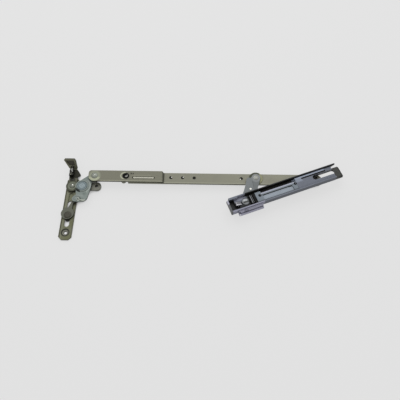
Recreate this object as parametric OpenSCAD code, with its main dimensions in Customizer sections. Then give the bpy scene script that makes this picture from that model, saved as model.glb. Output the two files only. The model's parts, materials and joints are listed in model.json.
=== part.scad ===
// Tilt and turn window stay, lying flat as it comes to rest, all sizes in millimetres.
// X runs along the stay arm, Y along the frame plate, Z is up and carries every pivot axis.

/* [Frame plate] */
// Width of the frame plate
plate_w = 17.5; // [14:0.5:20]
// Thickness of the frame plate
plate_t = 3; // [2.5:0.1:3.4]
// Plate length below the screw hole
plate_low = 10.5; // [9:0.5:14]
// Plate length above the screw hole
plate_up = 85.5; // [82:0.5:87]
// Screw hole diameter
hole_d = 4.4; // [4.2:0.1:5.2]
// Countersink diameter
sink_d = 10.6; // [9:0.2:11.4]
// Countersink depth
sink_h = 1.7; // [1:0.1:1.8]
// Width of the guide slot
slot_w = 6.8; // [6.4:0.1:7.2]
// Lower end of the guide slot
slot_from = 8.6; // [8:0.2:12]
// Upper end of the guide slot
slot_to = 49; // [44:1:51]

/* [Bearing bracket] */
// Sheet thickness of the bracket
brk_t = 2.6; // [2.2:0.1:2.7]
// Height of the corner fixing flange along its slope
flange_l = 16; // [12:0.5:19]
// Slope of the corner fixing flange
flange_tilt = 62; // [55:1:75]
// Radius of the round bracket end
lobe_r = 6.4; // [5.6:0.1:7]

/* [Swing lever] */
// Thickness of the cast lever
lev_t = 2.6; // [2.2:0.1:2.7]
// Radius of the cast ring round the pivot
ring_r = 9.2; // [8.4:0.1:9.6]
// Radius of the pivot pin head
pin_head_r = 7; // [6:0.1:7.2]

/* [Stay arm] */
// Distance of the arm axis from the plate screw
arm_y = 85.1; // [84:0.1:86]
// Width of the arm head
head_w = 17.5; // [16.8:0.1:19]
// Sheet thickness of the arm head
head_t = 2.5; // [2:0.1:3]
// Right end of the arm head
head_end = 131; // [128:0.5:136]
// Width of the arm bar
bar_w = 16.8; // [14:0.1:17]
// Thickness of the arm bar
bar_t = 3; // [2.4:0.1:3]
// Eccentric throw of the length adjuster
throw = 1.2; // [0.6:0.1:1.3]

/* [Opening linkage] */
// Distance from the lever pivot to the end pin
span_d = 85; // [82:0.5:88]
// Length of the stay lever between its pivots
lever_l = 43; // [41:0.5:45]
// Opening angle of the stay lever
lever_open = 68; // [60:1:72]
// Half width of the stay lever
lever_hw = 8.5; // [7.5:0.1:8.6]

/* [Carrier] */
// Total length of the carrier body
car_l = 160; // [155:1:163]
// Inner half width on the near side
car_near = 9.4; // [8.9:0.1:9.8]
// Inner half width on the far side
car_far = 9.2; // [8.8:0.1:10]
// Wall thickness
car_wall = 1.6; // [1.2:0.1:2.2]
// Height of the carrier walls
car_h = 8.5; // [7.4:0.1:9.6]
// Width of the end pin slot
end_slot_w = 7.6; // [7.6:0.1:8.4]
// Length of the sash drive bar
drive_l = 60; // [58:0.5:61]

/* [Fits] */
// Radial clearance of a running pivot
run_gap = 0.06; // [0.03:0.01:0.1]
// Clearance between layers that turn over one another
layer_gap = 0.4; // [0.3:0.05:0.5]

/* [Hidden] */
$fn = 64;
eps = 0.01;
nip = 0.04;
steel_c = [0.52, 0.52, 0.47];
dark_c = [0.28, 0.26, 0.22];
cast_c = [0.6, 0.62, 0.64];
zinc_c = [0.55, 0.56, 0.62];
bright_c = [0.75, 0.75, 0.74];

// plan points of the hinge side
bolt_o = [0, 71.4];
bolt_o2 = [-1, 81.5];
piv_m = [15, 69.7];
piv_e = [31.5, arm_y];
lobe_n = [34.8, 71.6];
piv_k = [8, 49.2];
slide_b = [0, 25.5];
foot_g = [16.8, 53];
foot_dip = [13.4, 46];
link_lobe = [-0.8, 28.2];
link_neck = [0.9, 32.2];

// layers from the table up
z_brk = plate_t;
z_brk_top = z_brk + brk_t;
disc_t = 0.6;
z_lev = z_brk_top + disc_t + layer_gap;
z_lev_top = z_lev + lev_t;
link_t = 2;
z_link = plate_t + 0.3;
z_link_top = z_link + link_t;
spacer_t = 0.9;
z_head = z_lev_top + spacer_t + 0.2;
z_head_top = z_head + head_t;
z_bar_top = z_head - 0.1;
z_bar = z_bar_top - bar_t;
wash_t = 0.8;
z_sl = z_bar_top + wash_t;
sl_t = 2;
z_sl_top = z_sl + sl_t;
leaf_t = 0.6;
z_car = z_sl_top + leaf_t + 0.25;
floor_t = 1.6;
z_floor = z_car + floor_t;
ledge_t = 1.2;
z_ledge = z_floor + ledge_t;
z_wall_low = z_sl + 0.05;
z_wall_top = z_wall_low + car_h;
guide_t = 2.4;
z_guide = z_car - guide_t;
cover_t = 0.9;

// opening linkage: pivots on the arm and the carrier frame
piv_p = [262.2, arm_y];
piv_s = [piv_p[0] + span_d, arm_y];
piv_c = [piv_p[0] - lever_l * cos(lever_open), arm_y - lever_l * sin(lever_open)];
car_a = atan2(lever_l * sin(lever_open), span_d + lever_l * cos(lever_open));
pin_u = norm(piv_s - piv_c);
pin_u_shut = span_d + lever_l;

// carrier stations along its axis, measured from its pivot
u_left = -25;
u_right = u_left + car_l;
u_cell = 14.8;
u_drive = 24.5;
u_block = u_drive + drive_l - 6.5;
u_slot = pin_u - 5.6;
u_slot_end = pin_u_shut + 10.5;
u_plate = 86;
u_plate_end = max(u_slot_end + 8.5, u_right + 12);
u_tip = u_right + 7;
win_from = 25;
win_to = u_block - 7;
win_near = -7.5;
win_far = 0;
rim_far = 3.9;
tab_far = 6.8;
drive_travel = 9;

// sizes of small fasteners
rivet_r = 3;
m_pin_r = 3.5;
e_pin_r = 3;
k_pin_r = 2.2;
b_pin_r = 2.3;
b_free = 1.1;
p_pin_r = 3;
c_pin_r = 3;
s_pin_r = 2.4;
cam_r = 2.2;
cam_free = 0.25;
ecc_r = 4;
ecc_x = 76.4;
guide_r = 1.5;
guide_y = arm_y - 2.5;
guide_x = [88.6, 114.9];
bead_x = [85.5, 118];
bar_from = 80;
bar_y = arm_y - 1.1;
bar_to = piv_s[0] + 9.5;
tongue_hw = 5.4;
bar_holes = [140.6, 157.4, 174.1, 241.4];
bar_hole_r = 2.4;
small_r = 1.5;
cover_rivets = [[21.6, 0.9], [u_block - 2.2, 0.7]];
plate_rivets = [[92, -4.6], [98.4, 4.2]];

// set screw of the bracket, bend line of its flange, rivet of the leaf, screw of the side jaw
screw_x = -3;
screw_z = z_brk_top + 3.6;
screw_r = 1.9;
bend_y = 98.6;
flange_x = -7.8;
flange_w = 11.4;
disc_r = 8.8;
leaf_dot = piv_c + 22.4 * [cos(lever_open), sin(lever_open)] + 0.6 * [-sin(lever_open), cos(lever_open)];
jaw_u = -4.2;
jaw_z = z_wall_low + 3.2;
jaw_r = 1.6;
jaw_t = 2.8;
jaw_v = -car_near - car_wall;

// round disc standing on a height
module post(p, r, z0, z1) {
    translate([p[0], p[1], z0])
        cylinder(r = r, h = z1 - z0);
}

// straight web between two round ends, set in by a hair so that it cuts the rounds cleanly
module web2d(p, rp, q, rq, inset) {
    d = norm(q - p);
    a = atan2(q[1] - p[1], q[0] - p[0]);
    b = acos((rp - rq) / d);
    polygon([
        p + (rp - inset) * [cos(a + b), sin(a + b)],
        q + (rq - inset) * [cos(a + b), sin(a + b)],
        q + (rq - inset) * [cos(a - b), sin(a - b)],
        p + (rp - inset) * [cos(a - b), sin(a - b)]]);
}

// flat bar with round ends of two radii
module link2d(p, rp, q, rq) {
    translate(p)
        circle(r = rp);
    translate(q)
        circle(r = rq);
    web2d(p, rp, q, rq, nip);
}

// the web as a flat solid between two heights
module web(p, rp, q, rq, z0, z1) {
    translate([0, 0, z0])
        linear_extrude(z1 - z0)
            web2d(p, rp, q, rq, nip);
}

// straight slot with round ends
module slot2d(p, q, w) {
    translate(p)
        circle(r = w / 2);
    translate(q)
        circle(r = w / 2);
    web2d(p, w / 2, q, w / 2, 0);
}

// low rivet head: a short upright rim under a flat dome
module rivet_head(p, r, z0, h) {
    rise = 0.7 * h;
    dome_r = r * r / (2 * rise) + rise / 2;
    translate([p[0], p[1], z0])
        rotate_extrude()
            intersection() {
                square([r, h]);
                translate([0, h - dome_r])
                    circle(r = dome_r, $fn = 128);
            }
}

// box on the carrier axes
module car_box(u0, u1, v0, v1, z0, z1) {
    translate([u0, v0, z0])
        cube([u1 - u0, v1 - v0, z1 - z0]);
}

// moves its children to the carrier axes
module on_carrier() {
    translate([piv_c[0], piv_c[1], 0])
        rotate([0, 0, car_a])
            children();
}

module plate2d() {
    c = 4;
    hw = plate_w / 2;
    polygon([[-hw + c, -plate_low], [hw - c, -plate_low], [hw, -plate_low + c], [hw, plate_up - c],
        [hw - c, plate_up], [-hw + c, plate_up], [-hw, plate_up - c], [-hw, -plate_low + c]]);
}

module frame_plate() {
    track_w = 11.6;
    track_h = 1.6;
    groove_h = 1;
    groove_to = 61;
    groove_w = slot_w - 0.6;
    rim_w = 0.7;
    rim_h = 0.5;
    color(steel_c)
        difference() {
            linear_extrude(plate_t)
                plate2d();
            post([0, 0], hole_d / 2, -1, plate_t + 1);
            translate([0, 0, plate_t - sink_h])
                cylinder(r1 = hole_d / 2, r2 = sink_d / 2 - rim_w, h = sink_h - rim_h);
            post([0, 0], sink_d / 2, plate_t - rim_h - eps, plate_t + 1);
            translate([0, 0, -1])
                linear_extrude(plate_t + 2)
                    slot2d([0, slot_from + slot_w / 2], [0, slot_to - slot_w / 2], slot_w);
            translate([0, 0, -1])
                linear_extrude(track_h + 1)
                    slot2d([0, slot_from + track_w / 2 - 2], [0, slot_to - track_w / 2 - 1.5], track_w);
            // shallow groove that carries the slot on towards the bracket
            translate([0, 0, plate_t - groove_h])
                linear_extrude(groove_h + 1)
                    slot2d([0, slot_to - groove_w], [0, groove_to - groove_w / 2], groove_w);
            post(bolt_o, rivet_r, -1, plate_t + 1);
            post(bolt_o2, rivet_r, -1, plate_t + 1);
            post(bolt_o, rivet_r + 1.4, -1, 1.2);
            post(bolt_o2, rivet_r + 1.4, -1, 1.2);
        }
}

module bracket2d() {
    translate(bolt_o)
        circle(r = disc_r - 0.3);
    link2d(bolt_o, 6, lobe_n, lobe_r);
    polygon([[-6.3, 72], [-6.3, 84], [flange_x, bend_y], [flange_x + flange_w, bend_y], [5.4, 96.6],
        [9.3, 90.6], [9.1, 89], [5.8, 87.4], [5.8, 72]]);
}

// bent strip and sloping flange, pressed from the same sheet as the bracket
module corner_flange() {
    in_r = 1.2;
    out_r = in_r + brk_t;
    lean = 6.2;
    side = 0.8;
    steps = 10;
    run = 1.4;
    ctr = [bend_y, z_brk_top + in_r];
    along = [cos(flange_tilt), sin(flange_tilt)];
    outer = [for (i = [0 : steps]) ctr + out_r * [sin(flange_tilt * i / steps), -cos(flange_tilt * i / steps)]];
    inner = [for (i = [steps : -1 : 0]) ctr + in_r * [sin(flange_tilt * i / steps), -cos(flange_tilt * i / steps)]];
    translate([flange_x + side, 0, 0])
        rotate([90, 0, 90])
            linear_extrude(flange_w - 2 * side)
                polygon(concat([[bend_y - 4, z_brk]], outer, [outer[steps] + run * along],
                    [inner[0] + run * along], inner, [[bend_y - 4, z_brk_top]]));
    translate([flange_x, bend_y, z_brk_top + in_r])
        rotate([flange_tilt, 0, 0])
            translate([0, 0, -out_r])
                difference() {
                    linear_extrude(brk_t)
                        polygon([[0, 0.5], [flange_w, 0.5], [flange_w - 0.8, flange_l - 3],
                            [flange_w - 2.6, flange_l], [1.4 - lean, flange_l], [-lean, flange_l - 1.6]]);
                    translate([0, 0, brk_t - 0.7])
                        linear_extrude(2)
                            polygon([[0.4, 6.4], [flange_w - 2.6, 6.4], [flange_w - 3.6, flange_l - 2.2],
                                [2.2 - lean, flange_l - 2.2]]);
                }
}

module bearing_bracket() {
    color(dark_c)
        difference() {
            union() {
                translate([0, 0, z_brk])
                    linear_extrude(brk_t)
                        bracket2d();
                corner_flange();
                post(lobe_n, lobe_r - 1.2, 0, z_brk + eps);
            }
            post(bolt_o, rivet_r, z_brk - 1, z_brk_top + 1);
            post(bolt_o2, rivet_r, z_brk - 1, z_brk_top + 1);
            post(piv_m, m_pin_r, z_brk - 1, z_brk_top + 1);
            post(lobe_n, hole_d / 2, -1, z_brk_top + 1);
            translate([screw_x, 0, screw_z])
                rotate([-90, 0, 0])
                    cylinder(r = screw_r + 0.15, h = 140);
        }
}

module bracket_disc() {
    color(steel_c)
        difference() {
            post(bolt_o, disc_r, z_brk_top, z_brk_top + disc_t);
            post(bolt_o, rivet_r, z_brk_top - 1, z_brk_top + disc_t + 1);
        }
}

module bracket_rivets() {
    color(bright_c) {
        post(bolt_o, rivet_r + 1.4, 0.2, 1.2);
        post(bolt_o, rivet_r, 1.2 - eps, z_brk_top + disc_t);
        rivet_head(bolt_o, rivet_r + 0.6, z_brk_top + disc_t, 1.1);
        post(bolt_o2, rivet_r + 1.4, 0.2, 1.2);
        post(bolt_o2, rivet_r, 1.2 - eps, z_brk_top);
        rivet_head(bolt_o2, rivet_r + 0.6, z_brk_top, 1);
    }
}

module set_screw() {
    head_y = 86.4;
    head_l = 3.6;
    collar_l = 1.5;
    color(bright_c)
        translate([screw_x, head_y, screw_z])
            rotate([-90, 0, 0])
                difference() {
                    union() {
                        cylinder(r = 3.1, h = head_l);
                        translate([0, 0, head_l - eps])
                            cylinder(r = screw_r, h = 16.6);
                        translate([0, 0, head_l + 2])
                            cylinder(r = 2.7, h = collar_l);
                        translate([0, 0, head_l + 5])
                            cylinder(r = 2.7, h = collar_l);
                    }
                    translate([0, 0, -1])
                        cylinder(r = 1.73, h = 3, $fn = 6);
                }
}

module pivot_pin() {
    color(cast_c) {
        post(piv_m, 5.4, z_brk - 1.4, z_brk);
        post(piv_m, m_pin_r, z_brk - eps, z_lev_top + 0.1);
        post(piv_m, pin_head_r, z_lev_top + 0.1, z_lev_top + 0.7);
    }
}

module lever2d() {
    difference() {
        link2d(piv_m, ring_r, piv_e, 7.4);
        translate([27.8, 60])
            square([20, arm_y - 67.6]);
    }
    link2d(piv_m, ring_r, foot_g, 8);
    link2d([20.4, 68], 7.2, [18, 54], 7);
    link2d(foot_g, 8, piv_k, 4.6);
}

module swing_lever() {
    ring_h = 0.7;
    color(cast_c)
        difference() {
            union() {
                translate([0, 0, z_lev])
                    linear_extrude(lev_t)
                        lever2d();
                post(piv_m, ring_r, z_lev, z_lev_top + ring_h);
            }
            post(piv_m, m_pin_r + run_gap, z_lev - 1, z_lev_top + 2);
            post(piv_m, pin_head_r + 0.3, z_lev_top, z_lev_top + 2);
            post(piv_e, e_pin_r, z_lev - 1, z_lev_top + 1);
            post(piv_k, k_pin_r, z_lev - 1, z_lev_top + 1);
            post(foot_dip, 3.6, z_lev_top - 0.9, z_lev_top + 1);
        }
}

module arm_spacer() {
    color(steel_c)
        difference() {
            post(piv_e, 6.8, z_lev_top, z_lev_top + spacer_t);
            post(piv_e, e_pin_r, z_lev_top - 1, z_lev_top + spacer_t + 1);
        }
}

module arm_rivet() {
    color(bright_c) {
        post(piv_e, 4.6, z_lev - 0.9, z_lev);
        post(piv_e, e_pin_r, z_lev - eps, z_head_top + 0.1);
        rivet_head(piv_e, 4.6, z_head_top + 0.1, 1.2);
    }
}

module link_rivet() {
    color(cast_c) {
        post(piv_k, k_pin_r, z_link, z_lev_top);
        post(piv_k, 3.6, z_link_top + 0.25, z_lev);
        rivet_head(piv_k, 2.9, z_lev_top, 0.3);
    }
}

module slide_link() {
    eye_r = 4.2;
    color(dark_c)
        difference() {
            union() {
                post(link_lobe, 8.9, z_link, z_link_top);
                web(link_neck, 3.6, piv_k - [4.4, 4], 1.3, z_link, z_link_top);
                web(piv_k - [4.8, 5], 1.25, piv_k, 3.4, z_link, z_link_top);
                post(piv_k, eye_r, z_link, z_link_top);
            }
            post(slide_b, b_pin_r + b_free, z_link - 1, z_link_top + 1);
            post(piv_k, k_pin_r + run_gap, z_link - 1, z_link_top + 1);
        }
}

module slide_rivet() {
    block_l = 5.4;
    color(dark_c)
        difference() {
            union() {
                post(slide_b, 5, 0.25, 1.35);
                translate([0, 0, 0.95])
                    linear_extrude(plate_t - 0.95)
                        slot2d(slide_b - [0, block_l], slide_b, slot_w - 0.3);
                post(slide_b, b_pin_r, plate_t - eps, z_link_top + 0.25);
                rivet_head(slide_b, 5, z_link_top + 0.2, 1.3);
            }
            post(slide_b, 2.9, z_link_top + 1, z_link_top + 3);
        }
}

module head2d() {
    hw = head_w / 2;
    x0 = piv_e[0] - hw;
    union() {
        translate([piv_e[0], arm_y])
            circle(r = hw);
        translate([x0 + 4, arm_y + hw - 4])
            circle(r = 4);
        translate([x0, arm_y])
            square([20, hw - 4]);
        translate([x0 + 4, arm_y])
            square([20, hw]);
        polygon([[piv_e[0], arm_y - hw], [head_end, arm_y - hw], [head_end, arm_y + hw - 3],
            [head_end - 3, arm_y + hw], [piv_e[0], arm_y + hw]]);
    }
}

module arm_head() {
    ramp = 3.2;
    color(steel_c)
        difference() {
            translate([0, 0, z_head])
                linear_extrude(head_t)
                    head2d();
            post(piv_e, e_pin_r + run_gap, z_head - 1, z_head_top + 1);
            post([ecc_x, arm_y], ecc_r + run_gap, z_head - 1, z_head_top + 1);
            translate([0, 0, z_head - 1])
                linear_extrude(head_t + 2)
                    slot2d([bead_x[0] + guide_r + 0.15, guide_y], [bead_x[1] - guide_r - 0.15, guide_y],
                        2 * guide_r + 0.3);
            translate([head_end - ramp, arm_y - 20, z_head_top])
                rotate([0, atan2(head_t - 0.6, ramp), 0])
                    cube([12, 40, 6]);
        }
}

module adjusting_eccentric() {
    flange_r = 4.7;
    color(dark_c)
        difference() {
            union() {
                post([ecc_x, arm_y], ecc_r, z_head, z_head_top + 0.1);
                post([ecc_x, arm_y], flange_r, z_head_top + 0.05, z_head_top + 0.75);
                post([ecc_x, arm_y + throw], cam_r, z_bar + 0.2, z_head + eps);
            }
            translate([ecc_x, arm_y, z_head_top - 1.3])
                cylinder(r = 2.3, h = 3, $fn = 6);
        }
}

module arm_bar() {
    color(steel_c)
        translate([0, 0, z_bar])
            linear_extrude(bar_t)
                difference() {
                    union() {
                        translate([bar_from, bar_y - bar_w / 2])
                            square([bar_to - bar_from - bar_w / 2, bar_w]);
                        translate([bar_to - bar_w / 2, bar_y])
                            circle(r = bar_w / 2);
                        // lug of the tongue, seen past the near edge of the head
                        translate([ecc_x - 3.1, arm_y - 5.9])
                            circle(r = 3.5);
                        translate([ecc_x - 7.4, arm_y - tongue_hw])
                            square([bar_from - ecc_x + 8, 2 * tongue_hw]);
                    }
                    slot2d([ecc_x, arm_y - throw], [ecc_x, arm_y + throw], 2 * (cam_r + cam_free));
                    for (x = guide_x) {
                        translate([x, guide_y])
                            circle(r = guide_r);
                    }
                    for (x = bar_holes) {
                        translate([x, arm_y - 0.3])
                            circle(r = bar_hole_r);
                    }
                    translate(piv_p)
                        circle(r = p_pin_r);
                    translate(piv_s)
                        circle(r = s_pin_r);
                }
}

module guide_pins() {
    color(bright_c)
        for (x = guide_x) {
            post([x, guide_y], guide_r, z_bar, z_head_top - 0.2);
        }
}

module lever_washer() {
    color(steel_c)
        difference() {
            post(piv_p, 9.8, z_bar_top, z_sl - 0.05);
            post(piv_p, p_pin_r, z_bar_top - 1, z_sl + 1);
        }
}

module lever_rivet() {
    color(bright_c) {
        post(piv_p, 4.6, z_bar - 1, z_bar);
        post(piv_p, p_pin_r, z_bar - eps, z_sl_top + 0.1);
        rivet_head(piv_p, 3.7, z_sl_top + 0.05, 0.55);
    }
}

module end_pin() {
    collar_r = 5.6;
    collar_h = 3;
    foot_r = 3.6;
    color(dark_c)
        difference() {
            union() {
                post(piv_s, foot_r, 0, z_bar - collar_h + eps);
                post(piv_s, collar_r, z_bar - collar_h, z_bar);
                post(piv_s, s_pin_r, z_bar - eps, z_floor + 0.2);
            }
            post(piv_s, 1.4, z_bar_top, z_floor + 2);
        }
}

module stay_lever() {
    waist = piv_p + 0.36 * (piv_c - piv_p);
    eye_r = 6.2;
    color(zinc_c)
        difference() {
            union() {
                post(piv_c, lever_hw, z_sl, z_sl_top);
                web(piv_c, lever_hw, waist, lever_hw - 0.3, z_sl, z_sl_top);
                post(waist, lever_hw - 0.3, z_sl, z_sl_top);
                web(waist, lever_hw - 0.3, piv_p, eye_r, z_sl, z_sl_top);
                post(piv_p, eye_r, z_sl, z_sl_top);
            }
            post(piv_p, p_pin_r + run_gap, z_sl - 1, z_sl_top + 1);
            post(piv_c, c_pin_r + run_gap, z_sl - 1, z_sl_top + 1);
            post(leaf_dot, 1.1, z_sl - 1, z_sl_top + 1);
        }
}

// the leaf lies on the near half of the lever and follows its axis
module lever_leaf() {
    color(cast_c)
        translate([0, 0, z_sl_top])
            linear_extrude(leaf_t)
                difference() {
                    translate(piv_c)
                        rotate([0, 0, lever_open])
                            union() {
                                translate([35.2, 7.2])
                                    circle(r = 4.3);
                                polygon([[5, 8], [5, -7.6], [14, -7.6], [22, -4.6], [35.2, 2.9], [35.2, 11.5],
                                    [26, 9.6], [16, 8.4]]);
                            }
                    translate(piv_c)
                        circle(r = c_pin_r + 1);
                    translate(leaf_dot)
                        circle(r = 1.1);
                }
}

module leaf_rivet() {
    color(bright_c) {
        post(leaf_dot, 1.1, z_sl, z_sl_top + leaf_t);
        rivet_head(leaf_dot, 1.5, z_sl_top + leaf_t, 0.16);
    }
}

module pivot_bolt() {
    color(bright_c) {
        post(piv_c, 4.4, z_sl - 0.55, z_sl - 0.05);
        post(piv_c, c_pin_r, z_sl - 0.1, z_floor);
        rivet_head(piv_c, 5.4, z_floor, 2.4);
    }
}

module carrier_solid() {
    wn = -car_near - car_wall;
    wf = car_far + car_wall;
    // floor and side ledges
    car_box(u_left, u_block + 1, -car_near - eps, car_far + eps, z_car, z_floor);
    car_box(u_cell + 1, u_block + 1, -car_near - eps, win_near - 0.1, z_floor - eps, z_ledge);
    car_box(u_cell + 1, u_block + 1, win_far + 0.2, rim_far, z_floor - eps, z_ledge);
    car_box(u_cell + 1, win_from - 0.6, rim_far - eps, tab_far, z_floor - eps, z_ledge);
    // near wall, far wall and end walls
    car_box(u_left, u_right, wn, -car_near, z_wall_low, z_wall_top);
    car_box(u_left + 3, u_right - 2, car_far, wf, z_car, z_wall_top);
    translate([0, wf, 0])
        rotate([90, 0, 0])
            linear_extrude(car_wall)
                polygon([[u_right - 2.1, z_car], [u_right + 2, z_car], [u_tip, z_wall_top - 2.2],
                    [u_tip, z_wall_top], [u_right - 2.1, z_wall_top]]);
    car_box(u_left, u_left + 2, wn, wf - 2.6, z_car - 2.4, z_wall_top - 1.2);
    car_box(u_left, -9.6, -car_near - eps, car_far + eps, z_car - 2.4, z_floor);
    car_box(u_left + 3, -9.6, car_far - 1.6, wf, z_car - 2.4, z_wall_top);
    // slotted block at the end pin
    car_box(u_block, u_right, -car_near - eps, car_far + eps, z_car, z_ledge + 1.1);
}

module carrier_body() {
    color(zinc_c)
        on_carrier()
            difference() {
                carrier_solid();
                // deep cell beside the clamp
                car_box(u_left + 2.4, -15.6, -6.6, 7.2, z_car - 1.2, z_wall_top + 1);
                car_box(-15.7, -10.4, -6.6, -3.6, z_car - 1.2, z_wall_top + 1);
                // groove along the far wall
                car_box(win_from, u_block - 2, rim_far, car_far, z_floor - 0.9, z_wall_top + 1);
                car_box(-0.6, win_from + 1, tab_far + 0.2, car_far, z_floor - 0.9, z_wall_top + 1);
                // tunnel of the drive bar
                car_box(u_block - 1, u_block + 18, win_near - 0.1, win_far + 0.2, z_floor, z_ledge);
                // slot of the end pin, open to the right
                translate([0, 0, z_car - 1])
                    linear_extrude(12)
                        slot2d([u_slot + end_slot_w / 2, 0], [u_right + 20, 0], end_slot_w);
                // thin line beside the slot
                car_box(u_block + 9, u_right - 10, 4.7, 5.5, z_ledge - 0.4, z_wall_top + 1);
                post([0, 0], c_pin_r, z_car - 1, z_floor + 1);
                for (p = cover_rivets) {
                    post(p, small_r, z_car - 1, z_ledge + 3);
                }
                for (p = plate_rivets) {
                    post(p, small_r, z_car - 1, z_car + 1.2);
                }
                // clamp screw bore through the near wall
                translate([jaw_u, jaw_v - 2, jaw_z])
                    rotate([-90, 0, 0])
                        cylinder(r = jaw_r, h = 6);
            }
}

module guide_plate() {
    color(dark_c)
        on_carrier()
            difference() {
                translate([0, 0, z_guide])
                    linear_extrude(guide_t)
                        difference() {
                            polygon([[u_plate, -car_near], [u_right + 0.4, -car_near], [u_right + 0.4, -car_near - 1.6],
                                [u_plate_end - 1, -car_near - 1.6], [u_plate_end, -car_near], [u_plate_end, 5.4],
                                [u_plate_end - 1.4, 6.8], [u_plate, 6.8]]);
                            slot2d([u_slot + end_slot_w / 2, 0], [u_slot_end - end_slot_w / 2, 0], end_slot_w);
                        }
                for (p = plate_rivets) {
                    post(p, small_r, z_guide - 1, z_car + 1);
                }
            }
}

module plate_rivets_pair() {
    color(bright_c)
        on_carrier()
            for (p = plate_rivets) {
                post(p, small_r, z_guide - eps, z_car + 1.2);
                post(p, 2.6, z_guide - 0.5, z_guide);
            }
}

module cover_plate() {
    color(zinc_c)
        on_carrier()
            translate([0, 0, z_ledge])
                linear_extrude(cover_t)
                    difference() {
                        polygon([[u_cell + 1, 0.2 - car_near], [u_block - 0.2, 0.2 - car_near],
                            [u_block - 0.2, rim_far], [win_from, rim_far], [win_from - 0.8, rim_far + 0.8],
                            [win_from - 0.8, tab_far], [u_cell + 1, tab_far]]);
                        polygon([[win_from, win_near], [win_to, win_near], [win_to, win_far - 1.4],
                            [win_to - 1.4, win_far], [win_from, win_far]]);
                        for (p = cover_rivets) {
                            translate(p)
                                circle(r = small_r);
                        }
                    }
}

module cover_rivets_pair() {
    color(dark_c)
        on_carrier()
            for (p = cover_rivets) {
                post(p, small_r, z_car, z_ledge + cover_t);
                rivet_head(p, 2.1, z_ledge + cover_t, 0.5);
            }
}

module drive_bar() {
    t = 0.95;
    color(bright_c)
        on_carrier()
            translate([0, 0, z_floor + 0.1])
                linear_extrude(t)
                    difference() {
                        translate([u_drive, win_near + 0.2])
                            square([drive_l, win_far - win_near - 0.4]);
                        slot2d(cover_rivets[1] - [drive_travel + 1.2, 0], cover_rivets[1] + [1.2, 0],
                            2 * small_r + 0.3);
                    }
}

module clamp_block() {
    color(bright_c)
        on_carrier()
            translate([0, 2.4, 0])
                rotate([90, 0, 0])
                    linear_extrude(5.6)
                        polygon([[-15, z_floor], [-6.6, z_floor], [-7.4, z_floor + 1.2], [-13.4, z_floor + 3.2],
                            [-15, z_floor + 3.2]]);
}

module serrated_shoe() {
    tooth = 2;
    color(dark_c)
        on_carrier()
            difference() {
                car_box(5.8, u_cell - 1.6, -6.6, 5.4, z_floor, z_floor + 2.4);
                for (i = [0 : 2]) {
                    car_box(6.6 + i * tooth, 7.6 + i * tooth, -7, 6, z_floor + 1, z_floor + 3);
                }
            }
}

module side_jaw() {
    jaw_from = -15;
    jaw_l = 36;
    color(zinc_c)
        on_carrier()
            difference() {
                translate([jaw_from, 0, 0])
                    rotate([90, 0, 90])
                        linear_extrude(jaw_l)
                            polygon([[jaw_v, jaw_z + 2.4], [jaw_v - jaw_t + 0.8, jaw_z + 1.6], [jaw_v - jaw_t, jaw_z + 0.6],
                                [jaw_v - jaw_t, jaw_z - 5.2], [jaw_v, jaw_z - 5.2]]);
                car_box(jaw_from - 1, jaw_from + 2, jaw_v - 5, jaw_v - 1.2, jaw_z - 1.6, jaw_z + 5);
                translate([jaw_u, jaw_v - 6, jaw_z])
                    rotate([-90, 0, 0])
                        cylinder(r = jaw_r, h = 9);
                translate([jaw_u, jaw_v - 6, jaw_z])
                    rotate([-90, 0, 0])
                        cylinder(r = 3, h = 6 - jaw_t + 1.6);
            }
}

module jaw_screw() {
    head_l = 1.2;
    color(dark_c)
        on_carrier()
            translate([jaw_u, jaw_v - jaw_t + 0.2, jaw_z])
                rotate([-90, 0, 0])
                    difference() {
                        union() {
                            cylinder(r = 2.8, h = head_l);
                            cylinder(r = jaw_r, h = jaw_t - 0.2 + car_wall);
                        }
                        translate([0, 0, -1])
                            cylinder(r = 1.2, h = 1.8, $fn = 6);
                    }
}

frame_plate();
bearing_bracket();
bracket_disc();
bracket_rivets();
set_screw();
pivot_pin();
swing_lever();
arm_spacer();
arm_rivet();
link_rivet();
slide_link();
slide_rivet();
arm_head();
adjusting_eccentric();
arm_bar();
guide_pins();
lever_washer();
lever_rivet();
end_pin();
stay_lever();
lever_leaf();
leaf_rivet();
pivot_bolt();
carrier_body();
guide_plate();
plate_rivets_pair();
cover_plate();
cover_rivets_pair();
drive_bar();
clamp_block();
serrated_shoe();
side_jaw();
jaw_screw();
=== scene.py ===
# %% [markdown]
# This lesson dresses a tilt-and-turn window stay. Its solids come from a CAD frame, so every pivot, hole and sheet
# thickness is right before Blender starts. What is left is the look: soft edges, plated metal, painted shade in
# the channels, screw threads and turned rings, and a pale table under an overcast window.

# %% Load the imported frame
import json
import math

import bmesh
import bpy
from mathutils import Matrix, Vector


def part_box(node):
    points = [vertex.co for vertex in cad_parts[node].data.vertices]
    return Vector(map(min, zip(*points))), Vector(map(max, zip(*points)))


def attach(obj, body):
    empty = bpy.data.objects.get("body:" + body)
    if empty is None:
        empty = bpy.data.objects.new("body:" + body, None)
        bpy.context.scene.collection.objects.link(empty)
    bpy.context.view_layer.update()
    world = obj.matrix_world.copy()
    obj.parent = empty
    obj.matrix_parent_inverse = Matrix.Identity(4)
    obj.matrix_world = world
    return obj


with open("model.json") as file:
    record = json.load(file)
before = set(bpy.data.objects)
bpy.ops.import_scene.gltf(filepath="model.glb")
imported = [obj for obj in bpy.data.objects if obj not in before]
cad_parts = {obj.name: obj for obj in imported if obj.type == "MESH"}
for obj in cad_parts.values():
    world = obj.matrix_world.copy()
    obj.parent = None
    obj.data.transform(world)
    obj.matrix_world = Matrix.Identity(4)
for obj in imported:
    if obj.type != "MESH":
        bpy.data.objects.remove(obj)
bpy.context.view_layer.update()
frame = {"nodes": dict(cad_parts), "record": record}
nodes = frame["nodes"]
joints = frame["record"]["behaviour"]["joints"]
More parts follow.
